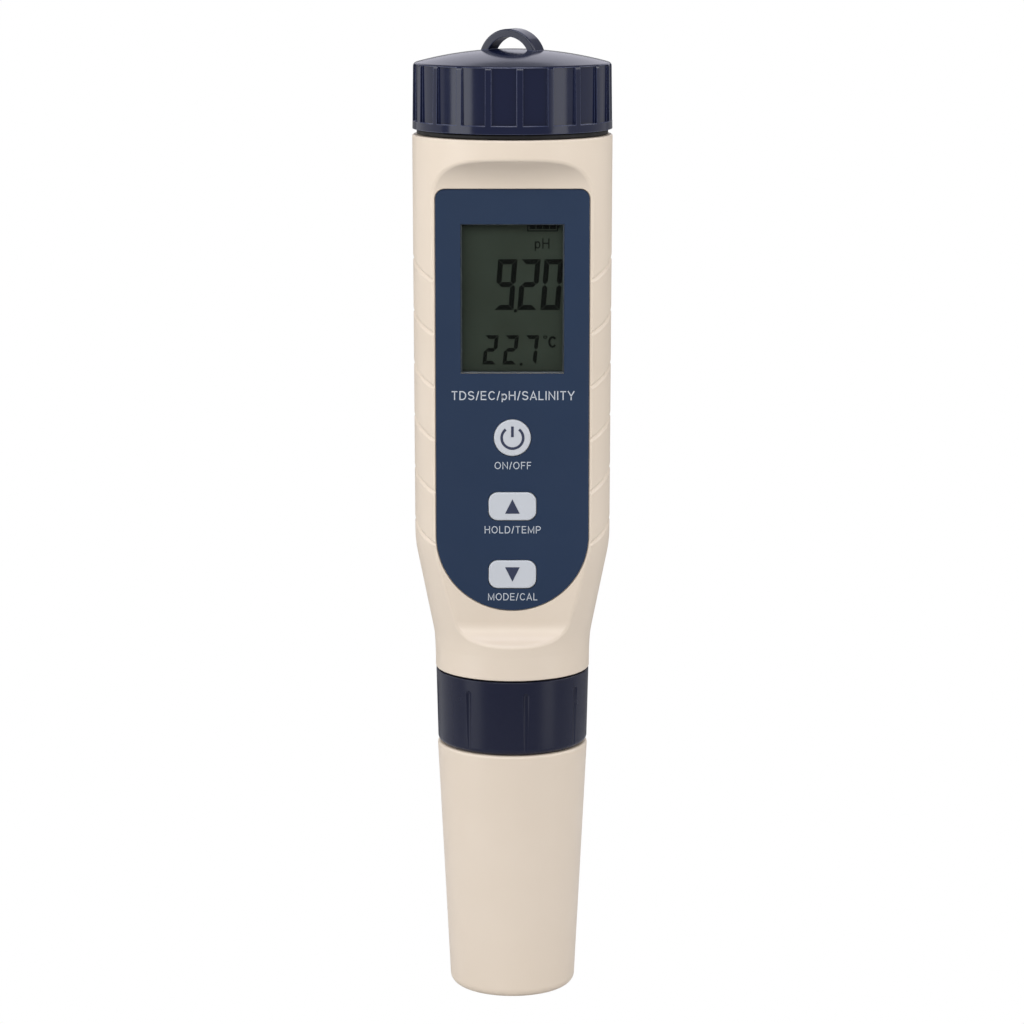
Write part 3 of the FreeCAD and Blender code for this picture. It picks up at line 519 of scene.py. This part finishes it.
def battery_symbol(low, high):
    """An outline open at the top, its nub on the right, and four charge bars."""
    left, right = 2.8 * MM, 8.6 * MM
    wall, nub = 0.2 * MM, 0.25 * MM
    floor_top = low + 0.18 * MM
    shapes = [box_outline(left, low, right, floor_top),
              box_outline(left, floor_top, left + wall, high),
              box_outline(right - wall, floor_top, right, high),
              box_outline(right, low + 0.65 * MM, right + nub, high)]
    for bar in range(4):
        bar_left = left + (0.45 + 1.28 * bar) * MM
        shapes.append(box_outline(bar_left, low + 0.45 * MM, bar_left + 1.1 * MM, high))
    return shapes


reading = digit_row("920", -3.45 * MM, window_foot + 11.7 * MM, width=3.65 * MM, height=9.65 * MM,
                    stroke=0.98 * MM, pitch=4.37 * MM, slant=0.08)
reading.append(dot(0.6 * MM, window_foot + 11.55 * MM, 0.36 * MM))
printed("display_reading", reading, glass)

temperature = digit_row("227", -5.7 * MM, window_foot + 1.3 * MM, width=2.55 * MM, height=5.6 * MM,
                        stroke=0.72 * MM, pitch=3.83 * MM, slant=0.1)
temperature.append(dot(1.65 * MM, window_foot + 1.35 * MM, 0.3 * MM))
printed("display_temperature", temperature, glass)

lettering("display_degree_sign", "°", 6.25 * MM, window_foot + 4.9 * MM,
          height=1.9 * MM, width=0.75 * MM, stroke=0.2 * MM, on=glass)
lettering("display_celsius", "C", 7.55 * MM, window_foot + 4.55 * MM,
          height=2.1 * MM, width=1.4 * MM, stroke=0.4 * MM, on=glass)
lettering("display_unit", "pH", 5.6 * MM, window_foot + 23.35 * MM,
          height=1.95 * MM, width=2.85 * MM, stroke=0.22 * MM, on=glass)
printed("display_battery", battery_symbol(window_top - 1.5 * MM, window_top + 0.35 * MM), glass)


# ---------------------------------------------------------------- studio
def pale_floor(radius, grey):
    """A disc that bounces light up, but lets camera and shadow rays through.

    A part that moves below it, such as the pulled probe cap, stays in view and evenly lit.
    """
    mesh = bpy.data.meshes.new("floor")
    shape = bmesh.new()
    bmesh.ops.create_circle(shape, cap_ends=True, segments=96, radius=radius)
    shape.to_mesh(mesh)
    shape.free()
    disc = bpy.data.objects.new("floor", mesh)
    bpy.context.scene.collection.objects.link(disc)
    paint = Shader("floor_paint", (grey, grey, grey), roughness=0.85, specular=0.1)
    paint.mottle(scale=3, amount=0.01)
    ray = paint.node("ShaderNodeLightPath")
    through = paint.node("ShaderNodeMath", operation="MAXIMUM")
    paint.link(ray.outputs["Is Camera Ray"], through.inputs[0])
    paint.link(ray.outputs["Is Shadow Ray"], through.inputs[1])
    clear_paint = paint.node("ShaderNodeBsdfTransparent")
    mix = paint.node("ShaderNodeMixShader")
    paint.link(through.outputs["Value"], mix.inputs["Fac"])
    paint.link(paint.bsdf.outputs["BSDF"], mix.inputs[1])
    paint.link(clear_paint.outputs["BSDF"], mix.inputs[2])
    paint.link(mix.outputs["Shader"], paint.output.inputs["Surface"])
    mesh.materials.append(paint.material)


def softbox(name, place, size, power, colour):
    """A rectangular light that faces the middle of the object."""
    aim = Vector((0, 0, 0.1))
    light = bpy.data.lights.new(name, "AREA")
    light.shape = "RECTANGLE"
    light.size, light.size_y = size
    light.energy = power
    light.color = colour
    lamp = bpy.data.objects.new(name, light)
    bpy.context.scene.collection.objects.link(lamp)
    lamp.location = place
    lamp.rotation_euler = (Vector(place) - aim).to_track_quat("Z", "Y").to_euler()


def room(below, level, below_strength, level_strength):
    """White all round: dim at eye level, bright from below, and plain white to the camera.

    below and level are the upward parts of the directions where the two strengths are reached.
    """
    world = bpy.data.worlds.new("studio")
    bpy.context.scene.world = world
    world.use_nodes = True
    tree = world.node_tree
    around = tree.nodes["Background"]
    around.inputs["Color"].default_value = (*WHITE, 1)
    direction = tree.nodes.new("ShaderNodeTexCoord")
    axes = tree.nodes.new("ShaderNodeSeparateXYZ")
    strength = tree.nodes.new("ShaderNodeMapRange")
    strength.interpolation_type = "SMOOTHSTEP"
    strength.inputs["From Min"].default_value = below
    strength.inputs["From Max"].default_value = level
    strength.inputs["To Min"].default_value = below_strength
    strength.inputs["To Max"].default_value = level_strength
    tree.links.new(direction.outputs["Generated"], axes.inputs["Vector"])
    tree.links.new(axes.outputs["Z"], strength.inputs["Value"])
    tree.links.new(strength.outputs["Result"], around.inputs["Strength"])
    backdrop = tree.nodes.new("ShaderNodeBackground")
    backdrop.inputs["Color"].default_value = (*WHITE, 1)
    backdrop.inputs["Strength"].default_value = 1.0
    ray = tree.nodes.new("ShaderNodeLightPath")
    mix = tree.nodes.new("ShaderNodeMixShader")
    tree.links.new(ray.outputs["Is Camera Ray"], mix.inputs["Fac"])
    tree.links.new(around.outputs["Background"], mix.inputs[1])
    tree.links.new(backdrop.outputs["Background"], mix.inputs[2])
    tree.links.new(mix.outputs["Shader"], tree.nodes["World Output"].inputs["Surface"])


def camera_at(place, tilt, focal_length, shift):
    """A camera in the plane x = 0; its tilt is in degrees, from straight down."""
    lens = bpy.data.cameras.new("camera")
    lens.sensor_width = 36
    lens.lens = focal_length
    lens.shift_x, lens.shift_y = shift
    lens.clip_start = 0.01
    camera = bpy.data.objects.new("camera", lens)
    bpy.context.scene.collection.objects.link(camera)
    camera.location = place
    camera.rotation_euler = (math.radians(tilt), 0, 0)
    bpy.context.scene.camera = camera


# name, place, width and height, watts, colour
SOFTBOXES = [
    ("front_box", (-0.15, -1.05, 0.8), (1.5, 0.6), 9.8, WHITE),
    ("left_box", (-1.04, -0.54, 0.2), (0.6, 1.0), 3.7, (0.96, 0.98, 1.0)),
    ("left_fill", (-1.3, 0.05, 0.75), (1.6, 0.9), 7.0, WHITE),
    ("left_card", (-1.2, 0.6, 0.0), (1.5, 0.7), 1.3, WHITE),
    ("right_box", (0.92, -0.62, 0.2), (0.4, 1.0), 2.0, WHITE),
    ("right_fill", (1.3, 0.05, 0.75), (1.6, 0.9), 8.2, WHITE),
    ("right_card", (1.3, 0.3, 0.0), (1.8, 0.7), 0.9, WHITE),
    ("top_box", (0, -0.1, 1.2), (0.7, 0.5), 4.9, (0.75, 0.8, 1.0)),
    ("back_box", (0.0, 1.2, 0.55), (1.2, 0.5), 1.2, (0.86, 0.85, 1.0)),
]

pale_floor(radius=0.19, grey=0.54)
for box_light in SOFTBOXES:
    softbox(*box_light)
room(below=-0.5, level=-0.27, below_strength=1.2, level_strength=0.25)
camera_at((0, -0.655, 0.2138), tilt=79.71, focal_length=120.7, shift=(-0.0004, -0.0026))
bpy.context.scene.view_settings.view_transform = "Standard"
